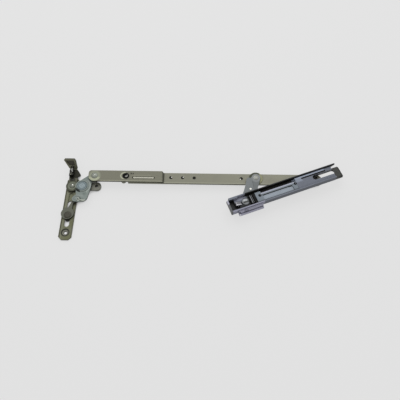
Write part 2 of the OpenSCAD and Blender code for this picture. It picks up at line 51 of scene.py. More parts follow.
pivots = {j["name"]: Vector(j["pos_m"]) for j in joints if "pos_m" in j}
slides = {j["name"]: Vector(j["axis"]) for j in joints if j["type"] == "slide"}
MM = 0.001


def in_mm(point):
    return [v / MM for v in point]


# %% [markdown]
# Plated steel is mostly maths: a colour that drifts, a grain that follows the rolling direction, edges rubbed
# bright. Writing that maths with nodes one by one is long, so a small class wraps an output socket. Adding or
# multiplying two of these wires adds the Math node by itself, and one method makes any other node.


# %% A wire for shader maths
class Wire:
    """An output socket. Sums, differences and products of wires add Math nodes to the tree."""

    def __init__(self, tree, socket):
        self.tree, self.socket = tree, socket

    @staticmethod
    def node(tree, kind, settings=None, sockets=None, out=0):
        made = tree.nodes.new(kind)
        for key, value in (settings or {}).items():
            setattr(made, key, value)
        for key, value in (sockets or {}).items():
            if isinstance(value, Wire):
                tree.links.new(value.socket, made.inputs[key])
            else:
                made.inputs[key].default_value = value
        return Wire(tree, made.outputs[out]) if made.outputs else made

    def math(self, operation, a, b, clamp=False):
        settings = {"operation": operation, "use_clamp": clamp}
        return Wire.node(self.tree, "ShaderNodeMath", settings, {0: a, 1: b})

    def __add__(self, other):
        return self.math("ADD", self, other)

    def __radd__(self, other):
        return self.math("ADD", other, self)

    def __sub__(self, other):
        return self.math("SUBTRACT", self, other)

    def __rsub__(self, other):
        return self.math("SUBTRACT", other, self)

    def __mul__(self, other):
        return self.math("MULTIPLY", self, other)

    def __rmul__(self, other):
        return self.math("MULTIPLY", other, self)

    def __truediv__(self, other):
        return self.math("DIVIDE", self, other)

    def __pow__(self, other):
        return self.math("POWER", self, other)

    def clamped(self):
        return self.math("ADD", self, 0.0, clamp=True)


print("operators ready:", [n for n in ("add", "sub", "mul", "truediv", "pow") if hasattr(Wire, f"__{n}__")])

# %% [markdown]
# Colours and vectors do not go through the Math node, which would turn them grey: they have nodes of their own.
# Four short helpers make the ones that every finish needs: noise, a mix of two colours, a dot product and a scaled
# colour. A last one starts an empty material.


# %% Colours, vectors and noise
def rgba(colour):
    return (*colour, 1.0)


def clouds(tree, place, scale, detail=3.0, rough=0.5):
    return Wire.node(tree, "ShaderNodeTexNoise", {}, {
        "Vector": place, "Scale": scale, "Detail": detail, "Roughness": rough})


def mixed(tree, factor, a, b):
    settings = {"data_type": "RGBA", "blend_type": "MIX"}
    return Wire.node(tree, "ShaderNodeMix", settings, {0: factor, 6: a, 7: b}, out=2)


def dot(tree, a, b):
    return Wire.node(tree, "ShaderNodeVectorMath", {"operation": "DOT_PRODUCT"}, {0: a, 1: b}, out="Value")


def scaled(tree, colour, factor):
    return Wire.node(tree, "ShaderNodeVectorMath", {"operation": "SCALE"}, {0: colour, "Scale": factor})


def empty_material(name):
    material = bpy.data.materials.new(name)
    material.use_nodes = True
    material.node_tree.nodes.clear()
    return material, material.node_tree


print("colour helpers ready")

# %% [markdown]
# A mask is 1 inside a soft box or ring and 0 outside; it is given in millimetres, along the piece's own axes. That
# way painted shade can be put into a groove, or a painted highlight on an edge, without cutting the mesh into
# separately painted faces.


# %% Masks
ANY = (None, None, None)


def box(low, high, soft=0.7):
    """A mask for a box of millimetres. None leaves a side open."""
    def mask(place):
        inside = 1.0
        for axis, a, b in zip(place, low, high):
            for edge in ([axis - a] if a is not None else []) + ([b - axis] if b is not None else []):
                inside = (edge / soft + 0.5).clamped() * inside
        return inside
    return mask


def ring(centre, inner, outer, soft=0.5):
    """A mask for a ring round an upright axis, or for a disc where inner is 0."""
    def mask(place):
        x, y = place[0] - centre[0], place[1] - centre[1]
        far = (x * x + y * y) ** 0.5
        inside = ((outer - far) / soft + 0.5).clamped()
        return inside * ((far - inner) / soft + 0.5).clamped() if inner else inside
    return mask


def slab(normal, low, high, soft=0.15):
    """A mask for what lies between two parallel planes, given by their normal and distances."""
    def mask(place):
        depth = sum(n * axis for n, axis in zip(normal, place) if n)
        return ((depth - low) / soft + 0.5).clamped() * ((high - depth) / soft + 0.5).clamped()
    return mask


def both(first, second):
    return lambda place: first(place) * second(place)


def own_axes(tree, place, origin, turn):
    """The place as three wires in millimetres from origin, along axes turned about Z."""
    local = Wire.node(tree, "ShaderNodeVectorMath", {"operation": "SUBTRACT"}, {0: place, 1: origin})
    along = (math.cos(turn) / MM, math.sin(turn) / MM, 0.0)
    across = (-math.sin(turn) / MM, math.cos(turn) / MM, 0.0)
    return [dot(tree, local, axis) for axis in (along, across, (0.0, 0.0, 1 / MM))]


print("masks ready")

# %% [markdown]
# Nearly every piece is sheet steel or a zinc casting with a plated skin. One recipe serves them all: a broad
# cloudy drift of the plating, fine mottling, drawn lines along the piece, brighter rubbed edges found by comparing
# the true normal with a rounded one, painted shade on upright sides, and corners darkened where ambient occlusion
# finds them hidden, as painted shade and dirt. Marks come last, on top of it.

# %% One recipe for plated metal
CLOUD_SCALE, SPECK_SCALE = 70.0, 700.0
LINE_SCALE = (60, 2600, 900)
EDGE_REACH, SHADE_AND_DIRT_REACH, RELIEF = 0.5 * MM, 4 * MM, 0.05 * MM
finishes = {}


def plated(name, colour, rough=0.45, metal=0.6, lean=0.0, drift=0.2, mottle=0.18, lines=0.1, rub=0.35,
           shade_and_dirt=0.55, bump=0.05, tint=None, marks=(), origin=(0, 0, 0), turn=0.0, shine=0.5, side=0.75,
           fade=None):
    """A plated or cast metal. lean turns the drawn lines about Z, in degrees, and turn the axes of the marks."""
    finishes[name], tree = empty_material(name)
    place = Wire.node(tree, "ShaderNodeTexCoord", out="Object")
    spot = own_axes(tree, place, origin, math.radians(turn))
    along = Wire.node(tree, "ShaderNodeMapping", {}, {
        "Vector": place, "Rotation": (0, 0, math.radians(-lean)), "Scale": LINE_SCALE})
    cloud = clouds(tree, place, CLOUD_SCALE, 4.0)
    speck = clouds(tree, place, SPECK_SCALE, 3.0, 0.6)
    drawn = clouds(tree, along, 1.0, 2.0)
    true_n = Wire.node(tree, "ShaderNodeNewGeometry", out="Normal")
    round_n = Wire.node(tree, "ShaderNodeBevel", {"samples": 6}, {"Radius": EDGE_REACH})
    edge = ((1.0 - dot(tree, true_n, round_n)) * 5.0).clamped() * (0.4 + 0.9 * speck)
    lift = Wire.node(tree, "ShaderNodeSeparateXYZ", {}, {0: true_n}, out="Z")
    upright = (1.0 - lift * lift * 1.6).clamped()
    open_sky = Wire.node(tree, "ShaderNodeAmbientOcclusion", {"samples": 8}, {"Distance": SHADE_AND_DIRT_REACH}, out="AO")
    corner = ((1.0 - open_sky) * 1.3 - 0.05).clamped()
    tone = 1.0 + drift * 2.0 * (cloud - 0.5) + mottle * 2.0 * (speck - 0.5) + lines * 2.0 * (drawn - 0.5)
    # Painted light: fade brightens the colour along the piece's first axis, by gain from start to end.
    if fade:
        start, end, gain = fade
        tone = tone * (1.0 + gain * ((spot[0] - start) / (end - start)).clamped())
    # Painted shade: faces that stand upright keep only the fraction side of their colour.
    skin = scaled(tree, colour, tone * (1.0 - (1.0 - side) * upright))
    if tint:
        skin = mixed(tree, (cloud * 2.4 - 0.8).clamped(), skin, rgba(tint))
    skin = mixed(tree, (edge * rub).clamped(), skin, rgba([min(1.0, 0.1 + 1.6 * c) for c in colour]))
    # Painted shade and dirt: corners that ambient occlusion finds hidden darken towards a tenth of the colour.
    skin = mixed(tree, (corner * shade_and_dirt).clamped(), skin, rgba([0.1 * c for c in colour]))
    for mask, paint, amount in marks:
        skin = mixed(tree, (mask(spot) * amount * (0.7 + 0.6 * cloud)).clamped(), skin, rgba(paint))
    gloss = (rough + 0.16 * (cloud - 0.5) + 0.2 * (speck - 0.5) + 0.15 * corner).clamped()
    relief = Wire.node(tree, "ShaderNodeBump", {}, {
        "Strength": bump * 4, "Distance": RELIEF, "Height": drawn * 0.6 + speck * 0.8 + cloud})
    shader = Wire.node(tree, "ShaderNodeBsdfPrincipled", {}, {
        "Base Color": skin, "Metallic": metal, "Roughness": gloss, "Specular IOR Level": shine,
        "Normal": relief})
    Wire.node(tree, "ShaderNodeOutputMaterial", {}, {"Surface": shader})


print("recipe ready")

# %% [markdown]
# Marks on the frame plate: dark rolled edges, a dark ring round the countersunk hole, painted shade on the hole's
# wall, and olive stains. The corner flange has a painted highlight on its raised rim and painted shade in its
# recess;
# a slab mask that follows the flange's slope tells the two apart. Painted shadow lies on the bracket's base under
# the flange and round the disc. The corner screw is painted nearly black for the shade round it and shows three
# painted glints.

# %% Finishes of the frame plate and its bracket
# Near black for painted shade and for stamped marks, a dark colour for painted shade, near white for painted
# glints.
shade_and_mark_black, shade, painted_glint = (0.006, 0.006, 0.005), (0.03, 0.03, 0.024), (0.85, 0.86, 0.82)
hole, disc, round_end = (0.0, 0.0), (0.0, 71.4), (34.8, 71.6)
flange_slope = (0, -0.8829, 0.4695)
plated("plate_olive", (0.145, 0.15, 0.105), lean=90, drift=0.3, tint=(0.115, 0.118, 0.055), marks=[
    (box((None, None, 2.5), (-6.9, None, None)), (0.05, 0.05, 0.03), 0.75),
    (box((-6.4, None, 2.5), (-4.8, None, None)), (0.2, 0.2, 0.15), 0.5),
    (box((7.4, None, 2.5), ANY), (0.06, 0.06, 0.035), 0.4),
    # A dark ring round the countersunk hole and a lighter cone; then painted shade on the hole's wall.
    (ring(hole, 4.2, 6.0), shade, 0.95),
    (ring(hole, 2.7, 3.7), (0.28, 0.28, 0.25), 0.8),
    (ring(hole, 0, 2.5), shade_and_mark_black, 0.9)])
plated("disc_olive", (0.12, 0.13, 0.095), lean=40, drift=0.5, mottle=0.5, marks=[
    # Painted shadow round the disc's edge, and a ring of painted shade round its rivet.
    (ring(disc, 6.5, 9.5, 0.9), (0.04, 0.042, 0.024), 0.85),
    (ring(disc, 2.4, 3.6), shade, 0.6)])
plated("bracket_brown", (0.1, 0.1, 0.07), rough=0.5, lean=90, lines=0.05, rub=0.6, side=0.35, marks=[
    # Painted shadow of the flange on the base in front of it; then a painted highlight on the flange's raised rim
    # and painted shade in its recess.
    (box((None, 84.5, None), (None, 101, 8.2), 1.5), (0.016, 0.016, 0.009), 0.95),
    (slab(flange_slope, -85.42, -84.4), (0.19, 0.19, 0.13), 0.75),
    (slab(flange_slope, -86.3, -85.42), (0.055, 0.05, 0.038), 0.9),
    (ring(round_end, 2.4, 9.0), (0.17, 0.172, 0.145), 0.85)])
plated("dull_steel", (0.15, 0.16, 0.13), rough=0.4, metal=0.75, marks=[
    # Painted shade on the second rivet in the flange's shadow, and a painted glint on the first.
    (box((None, 77, None), ANY), shade, 0.95),
    (ring((0.5, 72.6), 0, 0.8, 0.7), painted_glint, 1.0)])
# Painted nearly black for the shade round the screw, with three painted glints on its collars.
plated("screw_black", (0.035, 0.034, 0.028), rough=0.28, metal=0.85, rub=0.9, marks=[
    (box((-3.0, 95.3, 10.6), (-2.0, 96.4, None), 0.5), painted_glint, 0.9),
    (box((-2.4, 92.2, 10.6), (-1.4, 93.3, None), 0.5), painted_glint, 0.9),
    (box((-3.8, 86.4, 11.2), (-2.8, 87.4, None), 0.5), (0.4, 0.4, 0.3), 0.9)])
plated("link_grey", (0.11, 0.115, 0.09), rough=0.5, lean=65, side=0.35, rub=0.7)
plated("slide_dark", (0.062, 0.06, 0.046), rough=0.5, lean=65, marks=[
    # Painted shade: the block is black below the plate's top, where the lobe shades the slot.
    (box(ANY, (None, None, 3.1)), shade_and_mark_black, 1.0)])
print("frame plate and bracket:", len(finishes), "finishes")

# %% [markdown]
# The swing lever is a die casting. Its skin is blue grey and soft. Painted highlights lie on the ring, its
# right-hand rim and the wave of the foot; painted shade lies in the hollow beside the ring and on the foot's step.
# The hollow's shade is a streak, made from a row of soft discs; the step's shade follows the wave in four soft
# boxes.

# %% Finishes of the swing lever
ring_mid = in_mm(pivots["lever_swing"])
# Colours for painted highlights, painted shade on the foot's step and painted shadow in the hollow.
cast_highlight, cast_step_shade, hollow_shade = (0.42, 0.45, 0.395), (0.045, 0.056, 0.05), (0.01, 0.014, 0.012)
plated("cast_blue", (0.185, 0.217, 0.2), rough=0.5, metal=0.5, lines=0.0, drift=0.35, mottle=0.3, bump=0.12,
       side=0.28, marks=[
    # Painted shade in a groove round the ring, then painted highlights beside it and on the ring's right-hand rim.
    (ring(ring_mid, 7.5, 8.3), (0.1, 0.125, 0.12), 0.6),
    (ring(ring_mid, 8.7, 9.7), (0.27, 0.3, 0.28), 0.6),
    (both(ring(ring_mid, 10.8, 12.2), box((22, None, None), ANY)), (0.33, 0.35, 0.33), 0.7),
    # Painted shadow in the hollow beside the ring, a row of soft discs.
    (ring((7.0, 65.0), 0, 1.2, 1.3), hollow_shade, 1.0),
    (ring((8.8, 63.3), 0, 1.6, 1.3), hollow_shade, 1.2),
    (ring((10.5, 62.0), 0, 1.6, 1.3), hollow_shade, 1.2),
    (ring((12.2, 60.9), 0, 1.2, 1.3), hollow_shade, 1.0),
    (ring((19.5, 57.0), 0, 2.0, 3.5), (0.1, 0.125, 0.115), 0.6),
    (box((8.5, 52.6, 9), (19, 55.5, None), 1.8), (0.3, 0.33, 0.31), 0.5),
    # Painted highlights on the foot.
    (box((10, 46.0, 7.8), (14.2, 48.8, None), 1.6), cast_highlight, 0.8),
    (box((14.8, 45.4, 7.8), (22, 48.0, None), 1.6), cast_highlight, 0.8),
    # Painted shade along the foot's step.
    (box((8.0, 52.3, 7.8), (12.4, 53.3, None), 0.9), cast_step_shade, 0.75),
    (box((12.2, 50.9, 7.8), (14.6, 52.3, None), 0.9), cast_step_shade, 0.8),
    (box((14.3, 48.9, 7.8), (15.7, 51.0, None), 0.9), cast_step_shade, 0.8),
    (box((15.6, 48.2, 7.8), (20.4, 49.1, None), 0.9), cast_step_shade, 0.6)])
# A finish in the colour of the painted highlights, for the wave of the foot.
plated("cast_highlight_blue", cast_highlight, rough=0.42, metal=0.5, lines=0.0, mottle=0.3, rub=0.2, shade_and_dirt=0.3)
plated("pin_blue", (0.165, 0.21, 0.22), rough=0.42, lines=0.0, mottle=0.25, rub=0.5, marks=[
    # Painted shading of the domed pin head: a lighter centre and a darker ring at its edge.
    (ring(ring_mid, 0, 4.3, 1.0), (0.25, 0.3, 0.315), 0.7),
    (ring(ring_mid, 4.5, 5.5), (0.1, 0.125, 0.135), 0.7)])
print("swing lever done, finishes so far:", len(finishes))

# %% [markdown]
# The arm is rolled strip with an olive passivated skin. Painted highlights lie along its near edge and round the
# head's rivet and the eccentric, painted shade darkens the head's near side and its right end, and painted light
# brightens the bar's near strip, the floor of the slot and the bar towards the carrier. The rim of the eccentric
# has turned black, its socket is left grey, and two short stamped ticks stand beside it.

# %% Finishes of the arm
ecc, arm_end, eye = [in_mm(pivots[name]) for name in ("eccentric_turn", "arm_turn", "tilt_open")]
head_low, head_high = in_mm(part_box("arm_head"))
head_side = head_low.y + 0.35
# Colours of a painted highlight and of painted shade on the head.
lit_olive, dark_olive = (0.245, 0.243, 0.185), (0.035, 0.035, 0.018)
# Painted light: the fade brightens the bar by a third from 165 mm to 300 mm, towards the carrier that shades it.
plated("arm_olive", (0.172, 0.17, 0.131), drift=0.14, tint=(0.187, 0.185, 0.146), rub=0.3, lines=0.05,
       side=0.25, fade=(165, 300, 0.33), marks=[
    # Painted highlight along the bar's near edge, painted light on the near strips beside the head and in the
    # slot.
    (box((head_high.x, None, 9.6), (None, 77.4, None)), (0.25, 0.25, 0.195), 0.7),
    (box((79, None, None), (head_high.x - 4, 76.6, None), 1.0), (0.21, 0.21, 0.155), 0.9),
    (box((66, None, None), (75, 76.8, None), 1.0), (0.24, 0.24, 0.19), 0.9),
    (box((85.5, 81.2, 9), (118, 84, None), 0.3), (0.42, 0.42, 0.35), 1.0)])
plated("head_olive", (0.142, 0.14, 0.106), drift=0.14, tint=(0.155, 0.153, 0.117), side=0.25, marks=[
    # Painted highlight on the near edge; painted shade on the near side left of 79 mm, painted light on it further
    # right.
    (box((40, None, 12), (None, head_low.y + 1.5, None), 0.8), lit_olive, 0.75),
    (box(ANY, (79, head_side, 12.3)), dark_olive, 0.95),
    (box((80, None, None), (121, head_side, 12.3), 1.0), (0.18, 0.18, 0.135), 0.9),
    # Painted shade on the head's right end, then painted highlights round the rivet.
    (box((head_high.x - 2.2, None, None), ANY, 1.4), (0.05, 0.05, 0.036), 0.85),
    (ring(arm_end, 0, 8.2, 3.0), (0.24, 0.255, 0.19), 0.7),
    (both(ring(arm_end, 5.0, 8.6, 1.2), box(ANY, (None, 82.5, None), 2.0)), (0.36, 0.38, 0.27), 0.7),
    (box((86, 84.8, 12), (113, 87.5, None), 1.2), (0.175, 0.173, 0.132), 0.7),
    (box((82.9, 87.9, 12), (84.5, 90.4, None), 0.3), shade_and_mark_black, 1.0),
    (box((85.7, 87.8, 12), (87.4, 89.8, None), 0.3), shade_and_mark_black, 1.0),
    # A painted highlight on the left of the eccentric's rim.
    (ring((ecc[0] - 2.4, ecc[1] + 0.4), 4.2, 5.6, 1.0), (0.5, 0.52, 0.38), 0.55)])
# Dark where the lever's shadow is painted across the washer, with a painted highlight on its right-hand rim.
plated("washer_olive", (0.055, 0.06, 0.039), side=0.6, marks=[
    (both(ring(eye, 6.2, 11), box((eye[0] + 5, None, None), ANY, 2.0)), (0.25, 0.25, 0.15), 0.85)])
plated("rivet_green", (0.22, 0.24, 0.205), rough=0.4, metal=0.7, mottle=0.4, marks=[
    # A faint painted glint on the head's rivet.
    (ring((arm_end[0] + 0.7, arm_end[1] + 0.9), 0, 0.8), painted_glint, 0.35)])
plated("bright_steel", (0.27, 0.275, 0.25), rough=0.36, metal=0.8, rub=0.5)
# Painted highlight: the slot's key and the guide pins are light, for the light line along the slot.
plated("slot_highlight_olive", (0.42, 0.415, 0.345), rough=0.45, metal=0.5, shade_and_dirt=0.2)
# Painted highlight: near white, for the leaf's rivet and the pin ends in the arm's holes.
plated("painted_highlight_white", (0.75, 0.74, 0.68), rough=0.35, metal=0.5, shade_and_dirt=0.1)
plated("eccentric_black", (0.008, 0.008, 0.007), rough=0.65, shine=0.15, rub=0.1, marks=[
    (ring((ecc[0] + 0.6, ecc[1] - 0.1), 0, 2.0), (0.5, 0.5, 0.46), 1.0)])
print("arm done, finishes so far:", len(finishes))

# %% [markdown]
# The sash carrier is a channel. Its marks are written in the carrier's own axes: the first number runs along
# its slide, the second across it, both from the domed bolt, and the third is height. The black ones are painted
# shade in the channel, the cell and the grooves; the light ones are ledges and wall tops, and on the far wall's
# inner face painted light where that face falls in shade.

# %% Carrier axes and painted shade
slide = slides["drive_slide"]
lean = math.degrees(math.atan2(slide.y, slide.x))
bolt = pivots["carrier_follow"] * Vector((1, 1, 0))
on_carrier = {"lean": lean, "turn": lean, "origin": bolt}
end_u = max((v.co - bolt).dot(slide) for v in nodes["guide_plate"].data.vertices) / MM
channel = [
    # Painted shade in the channel along the far wall.
    (box((2.2, 6.6, None), (26, 10.7, None)), shade_and_mark_black, 1.0),
    (box((24.6, 3.7, None), (76.5, 10.7, None)), shade_and_mark_black, 1.0),
    (box((76, 8.7, None), (142, 10.7, None)), shade_and_mark_black, 0.95),
    (box((74, 6.3, None), (124, 8.5, None)), (0.31, 0.35, 0.43), 0.9),
    (box((77, 1.2, None), (88, 6.2, None), 2.0), (0.24, 0.27, 0.33), 0.7),
    # More painted shade: a slot in the panel, under the cover and in the pocket.
    (box((87, 4.0, None), (125, 6.2, None), 0.4), shade_and_mark_black, 1.0),
    (box((24, -8, None), (77, 4.2, 16.1)), shade_and_mark_black, 0.95),
    (box((-16.5, -8.8, None), (15.6, 1.6, 16.2), 1.2), shade_and_mark_black, 0.9),
    (box((4.0, -8.8, None), (15.6, 7.4, 16.2), 1.2), shade_and_mark_black, 0.95),
    # Painted light on the far wall's inner face, which would otherwise lie in shade.
    (box((-15, 4.2, 15.7), (2.4, 10.2, 19.0), 1.0), (0.42, 0.42, 0.52), 0.9),
    # Painted shade in the deep cell.
    (box((-22.8, -6.9, None), (-15.2, 7.5, 19.0)), shade_and_mark_black, 1.0),
    # The left wall's outer face is darker towards the bottom.
    (box(ANY, (-23.6, None, 16.6), 2.0), (0.04, 0.04, 0.032), 0.9),
    (box((None, None, 17), (-22.8, 2.5, None), 1.0), (0.075, 0.075, 0.07), 0.8),
    (box((None, 2.5, 15), (-22.8, None, None), 1.0), (0.4, 0.4, 0.47), 0.8),
    (box((-23, None, None), (24, -9.2, None), 1.2), (0.27, 0.27, 0.34), 0.8)]
print("carrier turned", round(lean, 2), "degrees, its end at", round(end_u, 1), "mm,", len(channel), "marks")

# %% [markdown]
# Zinc plating has a lilac cast, paler on the side jaw and bluer on the cover. The drive bar and the domed bolt are
# bare steel, with the bolt's slot and a painted dark reflection drawn as one dark band across the dome. The
# clamp's near edge and the curl of the jaw carry painted highlights; the shoe and the small rivets are black with
# a few painted glints.

# %% Finishes of the lever and the carrier
# Colour of the painted glints on the cover's rivets.
glint = (0.33, 0.35, 0.38)
plated("lever_zinc", (0.13, 0.14, 0.143), lean=68, side=0.5, marks=[
    (ring(eye, 0, 6.9, 1.0), (0.2, 0.21, 0.212), 0.8)])
plated("leaf_zinc", (0.15, 0.162, 0.166), lean=68)
plated("carrier_zinc", (0.13, 0.142, 0.172), mottle=0.3, side=0.7, marks=channel, **on_carrier)
plated("jaw_zinc", (0.34, 0.34, 0.42), mottle=0.25, side=0.95, marks=[
    # Painted highlight on the curl at the jaw's left end.
    (box(ANY, (-13.4, -14.2, None)), (0.7, 0.7, 0.74), 0.8)], **on_carrier)
plated("cover_zinc", (0.155, 0.18, 0.205), rough=0.42, side=0.2, marks=[
    (box((24, 2.2, None), (75, 3.8, None)), (0.36, 0.37, 0.44), 0.8),
    (box((24, -0.1, None), (73, 0.8, None), 0.3), shade, 0.7),
    (box((15, None, None), (None, -7.2, None)), (0.05, 0.055, 0.06), 0.7)], **on_carrier)
plated("drive_steel", (0.225, 0.254, 0.288), rough=0.4, metal=0.7, side=0.2, **on_carrier)
plated("dome_steel", (0.27, 0.28, 0.29), rough=0.3, metal=0.85, marks=[
    # One dark band for the bolt's slot and a painted dark reflection across the dome.
    (box((-3.8, -2.6, None), (4.4, -0.5, None), 1.4), (0.06, 0.064, 0.06), 0.95)], **on_carrier)
plated("clamp_steel", (0.215, 0.215, 0.232), rough=0.36, metal=0.8, rub=1.0, marks=[
    # Painted highlight on the clamp's near edge.
    (box(ANY, (None, -1.9, None)), (0.72, 0.72, 0.76), 0.85)], **on_carrier)
plated("shoe_black", (0.008, 0.008, 0.009), rough=0.5, shine=0.2, marks=[
    # Two lighter stripes, painted glints on the shoe's teeth.
    (box((7.6, -6.8, 16.8), (8.7, 5.6, None), 0.3), (0.3, 0.31, 0.33), 0.9),
    (box((9.6, -6.8, 16.8), (10.6, 5.6, None), 0.3), (0.13, 0.135, 0.14), 0.9)], **on_carrier)
plated("dark_steel", (0.045, 0.046, 0.042), rough=0.45, drift=0.6, mottle=0.6, marks=[
    (box((140, 8.2, None), ANY), shade_and_mark_black, 0.8),
    (box((end_u - 1.6, None, None), ANY), shade_and_mark_black, 0.7),
    (box((140, None, None), (None, -8.6, None)), shade_and_mark_black, 0.6)], **on_carrier)
plated("rivet_black", (0.005, 0.005, 0.006), rough=0.6, shine=0.1, rub=0.0, marks=[
    # Painted glints in the middle of the two rivets.
    (ring((22.1, 1.3), 0, 0.6), glint, 0.9),
    (ring((76.3, 1.1), 0, 0.6), glint, 0.9)], **on_carrier)
plated("pin_black", (0.02, 0.02, 0.018), rough=0.45)
print("lever and carrier done, finishes in all:", len(finishes))

# %% [markdown]
# Each CAD piece now puts on its finish. The list runs from finish to pieces, so it shows which pieces came out of
# the same plating bath.

# %% Dress the pieces
wears = {
    "plate_olive": ["frame_plate"], "disc_olive": ["bracket_disc"], "bracket_brown": ["bearing_bracket"],
    "dull_steel": ["bracket_rivets"], "screw_black": ["set_screw"],
    "link_grey": ["slide_link"], "slide_dark": ["slide_rivet"],
    "cast_blue": ["swing_lever", "link_rivet"], "pin_blue": ["pivot_pin"],
    "arm_olive": ["arm_bar", "arm_spacer"], "head_olive": ["arm_head"], "washer_olive": ["lever_washer"],
    "rivet_green": ["arm_rivet"], "bright_steel": ["lever_rivet", "plate_rivets_pair"],
    "slot_highlight_olive": ["guide_pins"], "painted_highlight_white": ["leaf_rivet"], "eccentric_black": ["adjusting_eccentric"],
    "lever_zinc": ["stay_lever"], "leaf_zinc": ["lever_leaf"], "carrier_zinc": ["carrier_body"],
    "jaw_zinc": ["side_jaw", "jaw_screw"], "cover_zinc": ["cover_plate"], "drive_steel": ["drive_bar"],
    "dome_steel": ["pivot_bolt"], "clamp_steel": ["clamp_block"], "shoe_black": ["serrated_shoe"],
    "dark_steel": ["guide_plate"], "rivet_black": ["cover_rivets_pair"], "pin_black": ["end_pin"],
}
for finish, names in wears.items():
    for name in names:
        nodes[name].data.materials.clear()
        nodes[name].data.materials.append(finishes[finish])
print("dressed", sum(len(v) for v in wears.values()), "of", len(nodes))

# %% [markdown]
# Real sheet metal never has a razor edge: blanking leaves a small roll-over and plating rounds it further. A weld
# modifier joins the split corners of the imported mesh, and a planar decimate turns its long thin triangles back
# into whole faces, because a bevel streaks along such slivers. Then a bevel modifier rounds only the sharp edges,
# and a weighted normal keeps the large faces flat. Thin pieces get a finer radius.

# %% Soft edges
SHARP = math.radians(38)
USUAL_EDGE = 0.22
edge_mm = {"lever_leaf": 0.12, "cover_plate": 0.2, "leaf_rivet": 0.05, "arm_head": 0.45, "arm_bar": 0.35,
           "frame_plate": 0.4, "swing_lever": 0.5, "carrier_body": 0.3, "clamp_block": 0.35,
           "drive_bar": 0.15}


def soften(obj, width):
    """Smooth shading, a small bevel on sharp edges, and normals that keep large faces flat."""
    for polygon in obj.data.polygons:
        polygon.use_smooth = True
    if width:
        soft = obj.modifiers.new("soft edge", "BEVEL")
        soft.width, soft.segments = width * MM, 2
        soft.limit_method, soft.angle_limit = "ANGLE", SHARP
    flat = obj.modifiers.new("flat faces", "WEIGHTED_NORMAL")
    flat.weight, flat.keep_sharp = 90, False


for name, obj in nodes.items():
    if "custom_normal" in obj.data.attributes:
        obj.data.attributes.remove(obj.data.attributes["custom_normal"])
    weld = obj.modifiers.new("join corners", "WELD")
    weld.merge_threshold = 0.001 * MM
    whole = obj.modifiers.new("whole faces", "DECIMATE")
    whole.decimate_type, whole.angle_limit = "DISSOLVE", math.radians(0.3)
    soften(obj, edge_mm.get(name, USUAL_EDGE))
print("edges softened on", len(nodes), "nodes")

# %% [markdown]
# The CAD leaves out what is finer than its tools cut: the thread of the corner screw, turned rings on the broad
# pin head, the cast wave of the foot, peened rims, the rolled lip of the jaw, a key in the head's slot painted
# light as a highlight, and in the arm's holes a dark fill of painted shade and pin ends painted light as
# highlights. Three
# small builders shape them: one lofts rows of points, one revolves a profile, one winds a ridge. Each piece is put
# in place in the shared frame and then rides on its body, so it follows every joint.


# %% Builders for fine detail
def piece(name, mesh, finish, body, edge=0.0):
    bmesh.ops.recalc_face_normals(mesh, faces=mesh.faces)
    data = bpy.data.meshes.new(name)
    mesh.to_mesh(data)
    mesh.free()
    data.materials.append(finishes[finish])
    made = bpy.data.objects.new(name, data)
    bpy.context.collection.objects.link(made)
    soften(made, edge)
    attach(made, body)
    print(name, "has", len(data.polygons), "faces and rides on", body)


def corner(mesh, x, y, z):
    return mesh.verts.new(Vector((x, y, z)) * MM)


def loft(mesh, rows, closed=False):
    """Joins rows of corners by quads: round to the first row where closed, or else with a cap at both ends."""
    for a, b in zip(rows, rows[1:] + (rows[:1] if closed else [])):
        for i in range(len(a)):
            j = (i + 1) % len(a)
            mesh.faces.new((a[i], a[j], b[j], b[i]))
    if not closed:
        mesh.faces.new(rows[0])
        mesh.faces.new(rows[-1])


def lathe(mesh, centre, profile, closed, steps=40):
    """Revolves a profile of (radius, height) in millimetres round an upright axis."""
    turn = [2 * math.pi * i / steps for i in range(steps)]
    x, y = centre[:2]
    loft(mesh, [[corner(mesh, x + r * math.cos(t), y + r * math.sin(t), z) for t in turn] for r, z in profile],
         closed)


def wind(mesh, axis_x, axis_z, start, length, radius, pitch, depth, steps=20):
    """Winds a ridge round an axis along Y; the ridge runs out at both ends."""
    count = int(length / pitch * steps)
    root, half = radius - 0.1, 0.4 * pitch
    rows = []
    for i in range(count + 1):
        t = 2 * math.pi * i / steps
        crest = radius + depth * min(1.0, 2.0 * i / steps, 2.0 * (count - i) / steps)
        y = start + pitch * i / steps
        rows.append([corner(mesh, axis_x + r * math.cos(t), y + dy, axis_z + r * math.sin(t))
                     for r, dy in ((root, -half), (crest, 0.0), (root, half))])
    loft(mesh, rows)


print("builders ready")

# %% [markdown]
# The corner screw's thread is a ridge of 0.7 mm pitch, in three short runs between its collars. The broad pin head
# was faced on a lathe, which leaves low rings; four revolved profiles with a flat crest stand for them.

# %% Thread and turned rings
screw_low, screw_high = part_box("set_screw")
screw_x, screw_z = [(screw_low[i] + screw_high[i]) / 2 / MM for i in (0, 2)]
thread_radius, thread_pitch, thread_depth = 1.9, 0.7, 0.32
thread = bmesh.new()
for start, length in ((90.3, 1.4), (93.8, 1.0), (96.9, 1.9)):
    wind(thread, screw_x, screw_z, start, length, thread_radius, thread_pitch, thread_depth)
piece("corner_screw_thread", thread, "screw_black", "corner screw")

pin_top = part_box("pivot_pin")[1].z / MM
ring_root, ring_crest = pin_top - 0.05, pin_top + 0.14
rings = bmesh.new()
for r in (1.5, 3.3, 4.9, 6.3):
    lathe(rings, ring_mid, [(r - 0.35, ring_root), (r - 0.1, ring_crest), (r + 0.1, ring_crest),
                            (r + 0.35, ring_root)], True, 56)
piece("pin_head_rings", rings, "pin_blue", "frame")

# %% [markdown]
# A wave is cast into the lever's foot. It could be a curve with a round bevel; here a half round section is lofted
# along a path of points, because its width can then run out softly at both ends.

